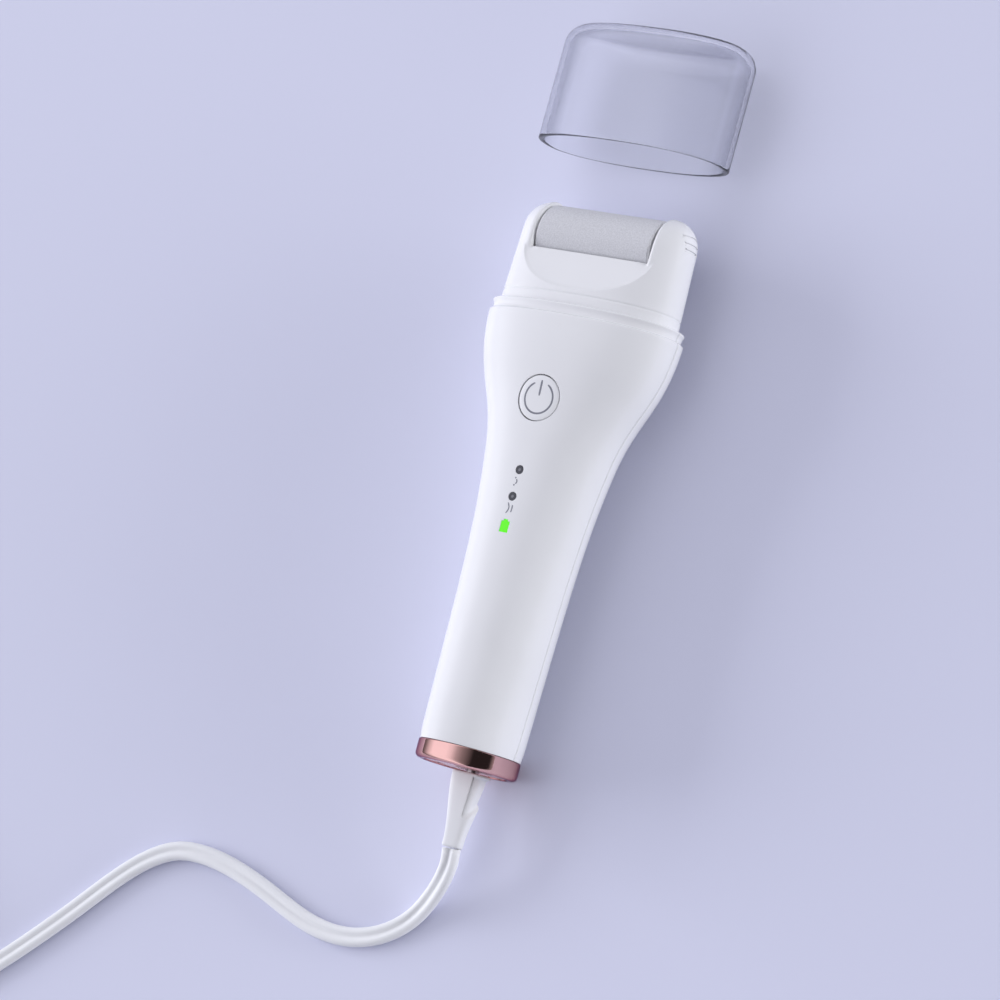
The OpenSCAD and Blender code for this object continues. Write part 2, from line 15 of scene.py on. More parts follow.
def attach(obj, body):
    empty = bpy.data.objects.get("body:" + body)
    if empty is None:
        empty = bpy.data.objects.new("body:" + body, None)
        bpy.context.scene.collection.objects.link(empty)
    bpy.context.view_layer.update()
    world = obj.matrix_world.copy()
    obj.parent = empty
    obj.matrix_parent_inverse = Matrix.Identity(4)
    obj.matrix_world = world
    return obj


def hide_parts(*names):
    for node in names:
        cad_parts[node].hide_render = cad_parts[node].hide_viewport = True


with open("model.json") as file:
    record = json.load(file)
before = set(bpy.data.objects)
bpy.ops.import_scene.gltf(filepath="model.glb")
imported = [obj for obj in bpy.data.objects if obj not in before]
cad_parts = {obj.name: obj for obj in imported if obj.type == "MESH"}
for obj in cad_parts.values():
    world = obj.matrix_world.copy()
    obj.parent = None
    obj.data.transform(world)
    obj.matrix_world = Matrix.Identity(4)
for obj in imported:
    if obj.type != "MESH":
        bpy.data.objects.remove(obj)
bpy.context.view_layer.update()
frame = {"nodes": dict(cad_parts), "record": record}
MM = 0.001

# ---------- sizes, in mm ----------

GRIP_R = 14.1
SHOULDER_W, SHOULDER_Z = 29.3, 123.5
SHOULDER_FRONT = 15.4
FULL = 2.3
WALL, RIM_WALL = 1.8, 2.2
EDGE_R = 0.4
RING_H = 5.2
RIM_Z = SHOULDER_Z + 3.5
RIM_W, RIM_FRONT, RIM_REAR = SHOULDER_W - 0.4, SHOULDER_FRONT - 0.3, GRIP_R - 0.3
ROLLER_Z, ROLLER_R, ROLLER_L = 147.3, 9.0, 36.0
EAR_X = 18.4
HEAD_TOP = ROLLER_Z + 9.7
EDGE_Z, EDGE_DEPTH = ROLLER_Z - 5, 8.9
CAP_WALL, CAP_H = 1.6, 34.0
CAP_Z = RIM_Z + 0.1 + 46
MID_Y = (CAP_Z + CAP_H) / 2
HEAD_W = RIM_W - CAP_WALL - 0.2
HEAD_FRONT, HEAD_REAR = RIM_FRONT - CAP_WALL - 0.2, RIM_REAR - CAP_WALL - 0.2
BUTTON_Z, BUTTON_R = 100.4, 6.2
LENS_Z, LENS_R = (80.4, 73.0, 64.8), 1.17
SOCKET_Y, PLUG_L = 4.0, 20.5
CORD_W = 5.4
COIL_AT = (-195.0, -187.0)

# ---------- camera ----------

CAMERA_AT = Vector((0.5584, -0.1594, 0.9268))
CAMERA_BACK = Vector((0.52615, -0.11913, 0.84201))
CAMERA_UP = Vector((-0.16403, 0.95733, 0.23794))
SENSOR, LENS = 36.0, 144.0

camera_data = bpy.data.cameras.new("camera")
camera_data.sensor_width, camera_data.lens = SENSOR, LENS
camera = bpy.data.objects.new("camera", camera_data)
bpy.context.scene.collection.objects.link(camera)
back = CAMERA_BACK.normalized()
right = CAMERA_UP.cross(back).normalized()
turn = Matrix((right, back.cross(right), back)).transposed().to_4x4()
camera.matrix_world = Matrix.Translation(CAMERA_AT) @ turn
bpy.context.scene.camera = camera


# ---------- mesh helpers ----------

def lay(p):
    """A point of the upright device, in mm, in the row frame, in metres."""
    x, y, z = p
    return Vector((x, z - MID_Y, GRIP_R - y)) * MM


def add(name, points, faces, place=lay, smooth=True, angle=None):
    """A mesh object from points in mm. angle, in degrees, keeps edges sharper than it crisp."""
    mesh = bpy.data.meshes.new(name)
    mesh.from_pydata([place(p) for p in points], [], faces)
    obj = bpy.data.objects.new(name, mesh)
    bpy.context.scene.collection.objects.link(obj)
    clean(obj)
    if smooth:
        shade(obj, angle)
    return obj


def clean(obj):
    """Merges points that coincide and turns every face outwards."""
    bm = bmesh.new()
    bm.from_mesh(obj.data)
    bmesh.ops.remove_doubles(bm, verts=bm.verts, dist=1e-7)
    bmesh.ops.recalc_face_normals(bm, faces=bm.faces)
    bm.to_mesh(obj.data)
    bm.free()


def shade(obj, angle=None):
    obj.data.shade_smooth()
    if angle is not None:
        obj.data.set_sharp_from_angle(angle=math.radians(angle))


def strip(rings, ends=True):
    """(points, faces) of a skin through rings that have the same number of points."""
    k, points = len(rings[0]), [p for ring in rings for p in ring]
    faces = []
    for j in range(len(rings) - 1):
        for i in range(k):
            a, b = j * k + i, j * k + (i + 1) % k
            faces.append((a, b, b + k, a + k))
    if ends:
        faces.append(tuple(range(k - 1, -1, -1)))
        faces.append(tuple(range((len(rings) - 1) * k, len(rings) * k)))
    return points, faces


def skin(name, rings, place=lay, angle=None):
    """A closed skin through rings, with its first and last ring filled."""
    return add(name, *strip(rings), place, angle=angle)


def lathe(name, outline, axis_at, axis="z", k=96, angle=None, closed=True):
    """A round piece from (radius, height) pairs. closed joins the last pair to the first."""
    rings = []
    for r, h in outline:
        ring = []
        for i in range(k):
            a = 2 * math.pi * i / k
            c, s = r * math.cos(a), r * math.sin(a)
            if axis == "z":
                ring.append((axis_at[0] + c, axis_at[1] + s, h))
            elif axis == "x":
                ring.append((h, axis_at[0] + c, axis_at[1] + s))
            else:
                ring.append((axis_at[0] + c, h, axis_at[1] + s))
        rings.append(ring)
    if closed:
        rings.append(rings[0])
    return add(name, *strip(rings, ends=not closed), angle=angle)


def join(name, objs, angle):
    """One object from several."""
    bm = bmesh.new()
    for o in objs:
        bm.from_mesh(o.data)
        bpy.data.objects.remove(o)
    mesh = bpy.data.meshes.new(name)
    bm.to_mesh(mesh)
    bm.free()
    obj = bpy.data.objects.new(name, mesh)
    bpy.context.scene.collection.objects.link(obj)
    shade(obj, angle)
    return obj


def cut(obj, cutters, angle):
    """Takes the cutters away from obj for good."""
    for c in cutters:
        m = obj.modifiers.new("cut", "BOOLEAN")
        m.operation, m.solver, m.object = "DIFFERENCE", "EXACT", c
    bpy.context.view_layer.update()
    mesh = bpy.data.meshes.new_from_object(obj.evaluated_get(bpy.context.evaluated_depsgraph_get()))
    obj.modifiers.clear()
    obj.data = mesh
    for c in cutters:
        bpy.data.objects.remove(c)
    shade(obj, angle)
    return obj


def block(low, high, place=lay):
    """A plain box used as a cutter."""
    (a, b, c), (d, e, f) = low, high
    ring = [(a, b), (d, b), (d, e), (a, e)]
    return add("cutter", *strip([[(x, y, z) for x, y in ring] for z in (c, f)]), place, smooth=False)


def along(path, i):
    """Direction of a path at its point i."""
    return (path[min(i + 1, len(path) - 1)] - path[max(i - 1, 0)]).normalized()


def tube(name, path, radii, k):
    """A round tube along a path in mm, with its own radius at each point."""
    path = [Vector(p) for p in path]
    rings = []
    for i, (p, r) in enumerate(zip(path, radii)):
        d = along(path, i)
        side = Vector((0, 0, 1)).cross(d).normalized()
        up = d.cross(side)
        turns = [2 * math.pi * j / k for j in range(k)]
        rings.append([p + side * r * math.cos(t) + up * r * math.sin(t) for t in turns])
    return skin(name, rings)


def spow(v, e):
    """A power that keeps the sign of v."""
    return math.copysign(abs(v) ** e, v)


def ease(t):
    """A smooth step from 0 to 1."""
    u = min(max(t, 0.0), 1.0)
    return u * u * (3 - 2 * u)


def section(a, front, rear, n, z, k):
    """A closed section of half width a, with its own depth in front and behind."""
    ring = []
    for i in range(k):
        t = 2 * math.pi * i / k
        s = spow(math.sin(t), 2 / n)
        ring.append((a * spow(math.cos(t), 2 / n), -(front if s > 0 else rear) * s, z))
    return ring


def bezier(p, t):
    """Point at share t of the cubic curve with the four control points p."""
    q = [Vector(v) for v in p]
    return (1 - t) ** 3 * q[0] + 3 * (1 - t) ** 2 * t * q[1] + 3 * (1 - t) * t * t * q[2] + t ** 3 * q[3]


# ---------- cord ----------

# The same route as the CAD cord, in mm in the row frame
CORD_ROUTE = [(0, -124.6, 10.1), (0, -128.4, 9.4), (-1.6, -132.5, 7.6), (-4.6, -137, 5),
    (-8, -141.3, 2.8), (-11.4, -145.2, 1.7), (-15.5, -148.8, 1.4), (-20.3, -151.7, 1.4),
    (-25.5, -153.6, 1.4), (-30.5, -154.5, 1.4), (-36, -154.6, 1.4), (-42, -153.8, 1.4),
    (-48, -152.2, 1.4), (-54, -150.1, 1.4), (-61, -147.6, 1.4), (-69, -145.2, 1.4),
    (-77, -143.5, 1.4), (-84.5, -142.9, 1.4), (-91, -143.5, 1.4), (-97, -145.8, 1.4),
    (-103, -149.7, 1.4), (-108.5, -154.5, 1.4), (-114, -160, 1.4), (-121, -167.4, 1.4),
    (-129, -175.4, 1.4), (-138, -184, 1.4), (-147.4, -192.3, 1.4), (-156.8, -200.4, 1.4)]
TAIL_ROUTE = [(-229.3, -163.5, 3.3), (-231, -158, 2.6), (-233.3, -152.5, 2.5),
    (-235.2, -147, 3.1), (-236, -142.5, 4)]
# Radius at the start of the coil, at its inner turn and where the cord leaves it
COIL_OUT, COIL_IN, COIL_TOP = 35.5, 24.7, 33.0
COIL_START, COIL_END = math.radians(-48.7), math.radians(180)
COIL_TURNS, COIL_STEPS = 3, 30
# Height of the cord's middle on the floor, and of one layer of it
CORD_Z, LAYER = 1.4, 2.75


def coil_points():
    """Three turns inwards on the floor, then back out on top of them, in mm in the row frame."""
    points = []
    steps = COIL_TURNS * COIL_STEPS
    for i in range(steps + 1):
        t = i / steps
        a = COIL_START - 2 * math.pi * COIL_TURNS * t
        points.append((a, COIL_OUT + (COIL_IN - COIL_OUT) * t, CORD_Z))
    last = points[-1][0]
    end = COIL_END - 2 * math.pi * (COIL_TURNS + 2)
    steps = round((last - end) / (2 * math.pi) * COIL_STEPS)
    for i in range(1, steps + 1):
        t = i / steps
        r = COIL_IN + (COIL_TOP - COIL_IN) * t
        points.append((last + (end - last) * t, r, CORD_Z + LAYER * ease(t * 6)))
    return [(COIL_AT[0] + r * math.cos(a), COIL_AT[1] + r * math.sin(a), z) for a, r, z in points]


def smooth_path(route, n):
    """Points of a smooth curve through a route, n between neighbours."""
    p = [Vector(q) for q in route]
    out = []
    for i in range(len(p) - 1):
        a, b, c, d = p[max(i - 1, 0)], p[i], p[i + 1], p[min(i + 2, len(p) - 1)]
        for j in range(n):
            t = j / n
            out.append(0.5 * (2 * b + (c - a) * t + (2 * a - 5 * b + 4 * c - d) * t * t
                + (3 * b - a - 3 * c + d) * t ** 3))
    return out + [p[-1]]


def row(p):
    """A point in mm in the row frame, in metres."""
    return Vector(p) * MM


def twin_profile(width):
    """Two round strands side by side with a web between them."""
    r = width / 4
    points = []
    for i in range(12):
        t = math.radians(-140 + 280 * i / 11)
        points.append((r + r * math.cos(t), r * math.sin(t)))
    return points + [(-x, -y) for x, y in points]


def twin_lead(name, path, width):
    """A twin lead that lies flat along a path in mm in the row frame."""
    rings = []
    for i, p in enumerate(path):
        d = along(path, i)
        side = d.cross(Vector((0, 0, 1))).normalized()
        up = side.cross(d)
        rings.append([p + side * x + up * y for x, y in twin_profile(width)])
    return skin(name, rings, row)


cord_line = smooth_path(CORD_ROUTE + coil_points() + TAIL_ROUTE, 2)
cord_mesh = twin_lead("cord", cord_line, CORD_W)
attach(cord_mesh, "handle")
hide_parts("cord_tube", "cord_coil", "cord_tail")


# ---------- materials ----------

def material(name, color, rough, metallic=0.0, spread=0.02, scale=60.0, bump=0.02, bump_scale=900.0,
        bump_depth=0.00002, round_edge=0.0, **sockets):
    """A Principled material with a slow drift of colour and roughness and a fine surface texture.
    spread is how far colour and roughness wander, scale and bump_scale are per metre, bump_depth is in
    metres and round_edge is the radius of softened edges in mm. sockets are values of the shader's own."""
    mat = bpy.data.materials.new(name)
    mat.use_nodes = True
    nodes, links = mat.node_tree.nodes, mat.node_tree.links
    shader = nodes["Principled BSDF"]
    where = nodes.new("ShaderNodeTexCoord")

    def noise(s, detail):
        n = nodes.new("ShaderNodeTexNoise")
        n.inputs["Scale"].default_value = s
        n.inputs["Detail"].default_value = detail
        links.new(where.outputs["Object"], n.inputs["Vector"])
        return n.outputs["Fac"]

    drift = noise(scale, 3)
    ramp = nodes.new("ShaderNodeValToRGB")
    for stop, gain in zip(ramp.color_ramp.elements, (1 - spread, 1 + spread)):
        stop.color = [min(max(c * gain, 0), 1) for c in color] + [1]
    ramp.color_ramp.elements[0].position, ramp.color_ramp.elements[1].position = 0.3, 0.7
    links.new(drift, ramp.inputs["Fac"])
    links.new(ramp.outputs["Color"], shader.inputs["Base Color"])
    wear = nodes.new("ShaderNodeMapRange")
    wear.inputs["To Min"].default_value = max(rough * (1 - 4 * spread), 0)
    wear.inputs["To Max"].default_value = min(rough * (1 + 4 * spread), 1)
    links.new(noise(scale * 5, 4), wear.inputs["Value"])
    links.new(wear.outputs["Result"], shader.inputs["Roughness"])
    relief = nodes.new("ShaderNodeBump")
    relief.inputs["Strength"].default_value = bump
    relief.inputs["Distance"].default_value = bump_depth
    links.new(noise(bump_scale, 2), relief.inputs["Height"])
    if round_edge:
        edge = nodes.new("ShaderNodeBevel")
        edge.samples = 8
        edge.inputs["Radius"].default_value = round_edge * MM
        links.new(edge.outputs["Normal"], relief.inputs["Normal"])
    links.new(relief.outputs["Normal"], shader.inputs["Normal"])
    shader.inputs["Metallic"].default_value = metallic
    for key, value in sockets.items():
        shader.inputs[key.replace("_", " ")].default_value = value
    return mat


def paint_edge_shade(mat, edge_shade, falloff):
    """Paints shade into clear plastic's colour where it is seen edge-on: a painted darkening that stands in for
    the dark surroundings seen through its curved edges.
    """
    nodes, links = mat.node_tree.nodes, mat.node_tree.links
    base = nodes["Principled BSDF"].inputs["Base Color"]
    clear = base.links[0].from_socket
    weight = nodes.new("ShaderNodeLayerWeight")
    power = nodes.new("ShaderNodeMath")
    power.operation = "POWER"
    power.inputs[1].default_value = falloff
    mix = nodes.new("ShaderNodeMix")
    mix.data_type = "RGBA"
    mix.inputs["B"].default_value = (*edge_shade, 1)
    links.new(weight.outputs["Facing"], power.inputs[0])
    links.new(power.outputs["Value"], mix.inputs["Factor"])
    links.new(clear, mix.inputs["A"])
    links.new(mix.outputs["Result"], base)


WHITE = (0.83, 0.83, 0.84)
MATERIALS = {
    "white_shell": material("white_shell", WHITE, 0.26, spread=0.012, bump=0.05, bump_scale=1400,
        round_edge=0.25, Coat_Weight=0.35, Coat_Roughness=0.12),
    "head_white": material("head_white", WHITE, 0.24, spread=0.012, bump=0.05, bump_scale=1400,
        round_edge=0.16, Coat_Weight=0.35, Coat_Roughness=0.1),
    "rose_gold": material("rose_gold", (0.90, 0.54, 0.48), 0.09, 1.0, spread=0.03, bump=0.05,
        bump_scale=300, Specular_Tint=(0.35, 0.22, 0.34, 1)),
    "base_brown": material("base_brown", (0.74, 0.42, 0.41), 0.24, 1.0, spread=0.05, bump=0.1,
        round_edge=0.2),
    "black_rubber": material("black_rubber", (0.03, 0.03, 0.03), 0.65, spread=0.08, bump=0.2),
    "steel": material("steel", (0.56, 0.56, 0.57), 0.28, 1.0, spread=0.04, bump=0.15, bump_scale=2500),
    "black_plastic": material("black_plastic", (0.03, 0.03, 0.032), 0.45, spread=0.06, bump=0.15),
    "brass": material("brass", (0.72, 0.5, 0.2), 0.25, 1.0, spread=0.04, bump=0.1),
    "board_green": material("board_green", (0.02, 0.13, 0.05), 0.35, spread=0.1, bump=0.1),
    "led_white": material("led_white", (0.8, 0.8, 0.55), 0.2, spread=0.04),
    "smoked_lens": material("smoked_lens", (0.030, 0.031, 0.042), 0.14, spread=0.05, Coat_Weight=0.6),
    "green_lens": material("green_lens", (0.03, 0.16, 0.01), 0.3, spread=0.05,
        Emission_Color=(0.10, 0.78, 0.0, 1), Emission_Strength=1.0),
    "lens_core": material("lens_core", (0.16, 0.16, 0.18), 0.2, spread=0.05, Coat_Weight=0.6),
    "light_guide": material("light_guide", (0.9, 0.9, 0.92), 0.08, spread=0.01, Transmission_Weight=0.9,
        IOR=1.49),
    "cell_blue": material("cell_blue", (0.05, 0.16, 0.42), 0.3, spread=0.05, bump=0.05),
    "inner_grey": material("inner_grey", (0.66, 0.66, 0.67), 0.45, spread=0.04, bump=0.1),
    "gear_ivory": material("gear_ivory", (0.75, 0.72, 0.62), 0.4, spread=0.04, bump=0.1),
    "bronze": material("bronze", (0.5, 0.3, 0.14), 0.4, 1.0, spread=0.06, bump=0.3, bump_scale=3000),
    "end_cap_grey": material("end_cap_grey", (0.78, 0.78, 0.79), 0.3, spread=0.02, bump=0.05, round_edge=0.2),
    "lead_red": material("lead_red", (0.5, 0.04, 0.04), 0.4, spread=0.04, bump=0.05),
    "lead_black": material("lead_black", (0.03, 0.03, 0.03), 0.4, spread=0.04, bump=0.05),
    "cord_white": material("cord_white", (0.86, 0.865, 0.875), 0.42, spread=0.015, bump=0.06, bump_scale=700),
    "plug_white": material("plug_white", (0.80, 0.805, 0.82), 0.32, spread=0.012, bump=0.05, round_edge=0.3),
    "print_grey": material("print_grey", (0.22, 0.225, 0.26), 0.5, spread=0.04, bump=0.05),
    "clear_cap": material("clear_cap", (0.97, 0.975, 0.99), 0.015, spread=0.004, bump=0.01, bump_scale=40,
        Transmission_Weight=1.0, IOR=1.46),
    "grit": material("grit", (0.66, 0.66, 0.685), 0.62, spread=0.10, scale=2600, bump=0.5, bump_scale=3600,
        bump_depth=0.00009),
}
# Painted shade: where the clear cap is seen edge-on, its colour turns towards this dark lavender in place of
# the dark surroundings seen through its edges.
CAP_EDGE_SHADE, CAP_FALLOFF = (0.03, 0.035, 0.13), 2.2
paint_edge_shade(MATERIALS["clear_cap"], CAP_EDGE_SHADE, CAP_FALLOFF)


def paint(obj, slot):
    obj.data.materials.clear()
    obj.data.materials.append(MATERIALS[slot])
    return obj


def piece(obj, body, slot, *nodes, look=None):
    """obj rides on body, is painted with the record's slot, or with look instead where given, and stands for
    these CAD nodes.
    """
    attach(obj, body)
    paint(obj, look or slot)
    if nodes:
        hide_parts(*nodes)
    return obj


record_slots = {s["node"]: s["material_slot"] for s in frame["record"]["subparts"]}
for node_name, node in frame["nodes"].items():
    paint(node, record_slots[node_name])
    shade(node, 30)
paint(cord_mesh, "cord_white")


# ---------- handle ----------

# The outline's half width and height, as two curves that meet below the button
GRIP_CURVE = [(GRIP_R, RING_H, 0), (GRIP_R + 1.3, 40, 0), (GRIP_R + 0.9, 63, 0), (GRIP_R + 4.8, 86.7, 0)]
FLARE_CURVE = [GRIP_CURVE[3], (GRIP_R + 7.4, 102.5, 0), (SHOULDER_W - 1.1, SHOULDER_Z - 18.6, 0),
    (SHOULDER_W, SHOULDER_Z, 0)]
GRIP_STEPS, FLARE_STEPS = 48, 64
BODY_LINE = [bezier(GRIP_CURVE, i / GRIP_STEPS) for i in range(GRIP_STEPS)]
BODY_LINE += [bezier(FLARE_CURVE, i / FLARE_STEPS) for i in range(FLARE_STEPS + 1)]
WAIST, WAIST_H = 0.6, 105
BULGE_Z, BULGE_H = 95, 25


def waist(z):
    """How much flatter the grip is at height z than at its ends."""
    return WAIST * max(math.sin(math.pi * min(max((z - RING_H) / WAIST_H, 0), 1)), 0)


def front_depth(z):
    return GRIP_R - waist(z) + (SHOULDER_FRONT - GRIP_R) * ease((z - BULGE_Z) / BULGE_H)


def rear_depth(z):
    return GRIP_R - waist(z)


def fullness(z):
    """Exponent of the section's oval: 2 is round, more is fuller."""
    return 2 + (FULL - 2) * ease((z - 60) / 60)


def half_width(z):
    """Half width of the handle's outline at height z."""
    for p, q in zip(BODY_LINE, BODY_LINE[1:]):
        if p.y <= z <= q.y:
            return p.x + (q.x - p.x) * (z - p.y) / (q.y - p.y)
    return SHOULDER_W


def surface(x, z):
    """Depth of the handle's front surface at x and z."""
    n = fullness(z)
    return front_depth(z) * max(1 - abs(x / half_width(z)) ** n, 0) ** (1 / n)


SEAM_GAP, SEAM_DEPTH, SEAM_SLOPE = 0.04, 0.26, 0.8
SOFT_UP, SOFT_IN = 0.45, 0.35


def half_ring(side, a, depth, n, z, wall, k=96):
    """Half a shell's section, open side at the seam: the outer arc, then the inner one back. The outer
    arc's ends are chamfered, so that the two halves meet in a fine V-groove."""
    def arc(a, d, slope):
        start = [math.asin((y / d) ** (n / 2)) for y in (0, 0.08, 0.16, SEAM_DEPTH)]
        middle = [start[-1] + (math.pi - 2 * start[-1]) * i / k for i in range(1, k)]
        points = []
        for t in start + middle + [math.pi - t for t in start[::-1]]:
            y = max(d * max(math.sin(t), 0) ** (2 / n), SEAM_GAP)
            x = a * spow(math.cos(t), 2 / n)
            points.append((side * (x - math.copysign(slope * max(SEAM_DEPTH - y, 0), x)), -side * y, z))
        return points
    return arc(a, depth, SEAM_SLOPE) + arc(a - wall, depth - wall, 0)[::-1]


def half_shell(name, side):
    """A handle half with a rounded shoulder edge, a tapered band above it and a flat rim."""
    depth_at = front_depth if side > 0 else rear_depth
    shoulder = depth_at(SHOULDER_Z)
    rim = RIM_FRONT if side > 0 else RIM_REAR
    low_edge = [(0.22, 0.04), (0.06, 0)]
    rings = []
    for i, p in enumerate(BODY_LINE):
        pull, lift = low_edge[i] if i < len(low_edge) else (0, 0)
        depth = depth_at(p.y) - pull
        rings.append(half_ring(side, p.x - pull, depth, fullness(p.y), p.y + lift, WALL))
    for t in (0.3, 0.6, 0.85, 1.0):
        lift = SOFT_UP * math.sin(t * math.pi / 2)
        pull = SOFT_IN * (1 - math.cos(t * math.pi / 2))
        rings.append(half_ring(side, SHOULDER_W - pull, shoulder - pull, FULL, SHOULDER_Z + lift, WALL))
    taper = [(0.2, 0.55), (0.42, 0.8), (0.42, 1.6), (0.3, 2.4), (0.05, 2.8), (0.0, 2.95), (0.0, 3.1)]
    band = [(pull, SHOULDER_Z + rise) for pull, rise in taper]
    for t in (0.3, 0.65, 1.0):
        turn = t * math.pi / 2
        band.append((EDGE_R * (1 - math.cos(turn)), RIM_Z - EDGE_R + EDGE_R * math.sin(turn)))
    for pull, z in band:
        rings.append(half_ring(side, RIM_W - pull, rim - pull, FULL, z, RIM_WALL - pull))
    return skin(name, rings, angle=50)


def into(x, z, deep, shallow, r, k=64):
    """A round cutter that goes into the front, from depth shallow to depth deep."""
    return lathe("cutter", [(r, -shallow), (r, -deep)], (x, z), "y", k, closed=False)


def prism(name, outline, depth, deep, proud=0.0, soften=0.12):
    """A plug with this outline of (x, z) points. Its face follows depth(x, z) and its edge is softened."""
    cx, cz = sum(p[0] for p in outline) / len(outline), sum(p[1] for p in outline) / len(outline)

    def ring(scale, sink):
        scaled = [(cx + (x - cx) * scale, cz + (z - cz) * scale) for x, z in outline]
        return [(x, -(depth(x, z) + proud - sink), z) for x, z in scaled]

    half = max(abs(x - cx) for x, z in outline)
    rim = 1 - soften / half
    rings = [[(x, -deep, z) for x, z in outline], ring(1, soften)]
    rings += [ring(1 - soften * 0.3 / half, soften * 0.3), ring(rim, 0)]
    rings += [ring(rim * s, 0) for s in (0.8, 0.6, 0.4, 0.2, 0.03)]
    return skin(name, rings, angle=35)


def circle(x, z, r, k=96):
    turns = [2 * math.pi * i / k for i in range(k)]
    return [(x + r * math.cos(t), z + r * math.sin(t)) for t in turns]


PRINT_PROUD, PRINT_DEEP = 0.02, 0.15


def stroke(name, points, width, depth):
    """A printed line along (x, z) points that follows the surface, tapered a little at its ends."""
    rings = []
    last = len(points) - 1
    for i, (x, z) in enumerate(points):
        (ax, az), (bx, bz) = points[max(i - 1, 0)], points[min(i + 1, last)]
        length = math.hypot(bx - ax, bz - az)
        nx, nz = (bz - az) / length, -(bx - ax) / length
        w = width / 2 * (0.6 if i in (0, last) else 1)
        corners = [(-w, PRINT_PROUD), (w, PRINT_PROUD), (w, -PRINT_DEEP), (-w, -PRINT_DEEP)]
        at = [(x + nx * v, z + nz * v, out) for v, out in corners]
        rings.append([(px, -(depth(px, pz) + out), pz) for px, pz, out in at])
    return skin(name, rings, angle=30)


def battery_outline(grow, z):
    """A small battery standing up, grown by grow all round."""
    w, low, high, nub, top = 1.25 + grow, -1.7 - grow, 1.3 + grow, 0.6 + grow, 1.8 + grow
    return [(-w, z + low), (w, z + low), (w, z + high), (nub, z + high), (nub, z + top), (-nub, z + top),
        (-nub, z + high), (-w, z + high)]


front = half_shell("front_half", 1)
battery_hole = strip([[(x, y, z) for x, z in battery_outline(0.05, LENS_Z[2])] for y in (-20, -9)])
holes = [into(0, BUTTON_Z, 9, 20, BUTTON_R + 0.25, 96)]
holes += [into(0, z, 9, 20, LENS_R + 0.05) for z in LENS_Z[:2]]
holes += [add("cutter", *battery_hole, smooth=False)]
cut(front, holes, angle=50)
piece(front, "handle", "white_shell", "front_shell")
piece(half_shell("rear_half", -1), "handle", "white_shell", "rear_shell")


def flush(x, z):
    """Depth of a face set just under the handle's surface."""
    return surface(x, z) - 0.03


BUTTON_FOOT = 11.4
button = prism("button", circle(0, BUTTON_Z, BUTTON_R), flush, BUTTON_FOOT, soften=0.3)
flange_outline = [(0.5, -BUTTON_FOOT), (7, -BUTTON_FOOT), (7, -10.9), (0.5, -10.9)]
flange = lathe("flange", flange_outline, (0, BUTTON_Z), "y", 64, angle=40)
piece(join("button_face", [button, flange], 40), "button", "white_shell", "power_button")

SYMBOL_R = 4.3
turns = [math.radians(a) for a in range(28, 333, 8)]
arc = [(SYMBOL_R * math.sin(t), BUTTON_Z + SYMBOL_R * math.cos(t)) for t in turns]
bar = [(0, BUTTON_Z + 0.6 + 0.6 * i) for i in range(8)]
symbol = join("button_symbol", [stroke("arc", arc, 0.5, flush), stroke("bar", bar, 0.55, flush)], 30)
piece(symbol, "button", "white_shell", look="print_grey")

LENS_FOOT = 11.6
for name, z in (("high", LENS_Z[0]), ("low", LENS_Z[1])):
    lens = prism("lens_" + name, circle(0, z, LENS_R, 48), flush, LENS_FOOT)
    piece(lens, "handle", "smoked_lens", "speed_lens_" + name)
lens = prism("lens_battery", battery_outline(0, LENS_Z[2]), flush, LENS_FOOT, soften=0.08)
piece(lens, "handle", "green_lens", "battery_lens")


def bow(x, z, height, width, n=8):
    """A small generic speed mark: a stroke bowed to the right."""
    return stroke("mark", [(x + width * math.sin(math.pi * i / n), z - height / 2 + height * i / n)
        for i in range(n + 1)], 0.34, surface)


def dots(name, r, depth, *places):
    """Flat round dots that follow the surface."""
    return [prism(name, circle(x, z, r, 24), depth, 11.8, PRINT_PROUD, 0.04) for x, z in places]


marks = [bow(-0.15, LENS_Z[0] - 3.3, 1.3, 0.3), bow(-0.75, LENS_Z[1] - 3.3, 2.9, 0.6)]
marks += [bow(0.75, LENS_Z[1] - 3.3, 2.0, 0.06)]
marks += dots("mark", 0.24, surface, (-0.5, LENS_Z[0] - 2.3), (-0.5, LENS_Z[0] - 4.3))
piece(join("speed_marks", marks, 30), "handle", "white_shell", look="print_grey")
cores = dots("core", 0.42, flush, (0, LENS_Z[0]), (0, LENS_Z[1]))
piece(join("lens_cores", cores, 30), "handle", "smoked_lens", look="lens_core")


# ---------- base ----------

def fillet(cx, cz, r, a0, a1, n=8):
    """Points round a corner from a0 to a1 degrees."""
    turns = [math.radians(a0 + (a1 - a0) * i / n) for i in range(n + 1)]
    return [(cx + r * math.cos(t), cz + r * math.sin(t)) for t in turns]


# Radius and height of the ring's section, from its inner lower edge round the outside and back
ring_outline = [(11.5, 0.3), (11.5, 0.1), (11.7, 0.0), (12.4, 0.0)]
ring_outline += fillet(GRIP_R - 1.5, 1.5, 1.5, -80, 0) + [(GRIP_R, 4.6)]
ring_outline += fillet(GRIP_R - 0.35, RING_H - 0.4, 0.35, 0, 90, 5)
ring_outline += [(12.9, RING_H - 0.05), (12.9, 3.8), (12.4, 3.8), (12.4, 1.2), (11.5, 1.2)]
piece(lathe("trim_ring", ring_outline, (0, 0), k=160, angle=40), "handle", "rose_gold", "base_ring")


# ---------- head ----------

DOME_R, EAR_CORNER = 10.2, 7


def dome(z):
    """How the ears get thinner from front to back above the roller's axle."""
    return math.sqrt(1 - min(max((z - ROLLER_Z) / DOME_R, 0), 1) ** 2)


def head_size(z):
    """Half width, front depth and rear depth of the collar and the ears at height z."""
    u = min(max((z - HEAD_TOP + EAR_CORNER) / (EAR_CORNER + 0.05), 0), 1)
    rise = z - RIM_Z
    return (HEAD_W - 0.035 * rise - EAR_CORNER * (1 - math.sqrt(1 - u * u)),
        (HEAD_FRONT - 0.04 * rise) * dome(z), (HEAD_REAR - 0.02 * rise) * dome(z))


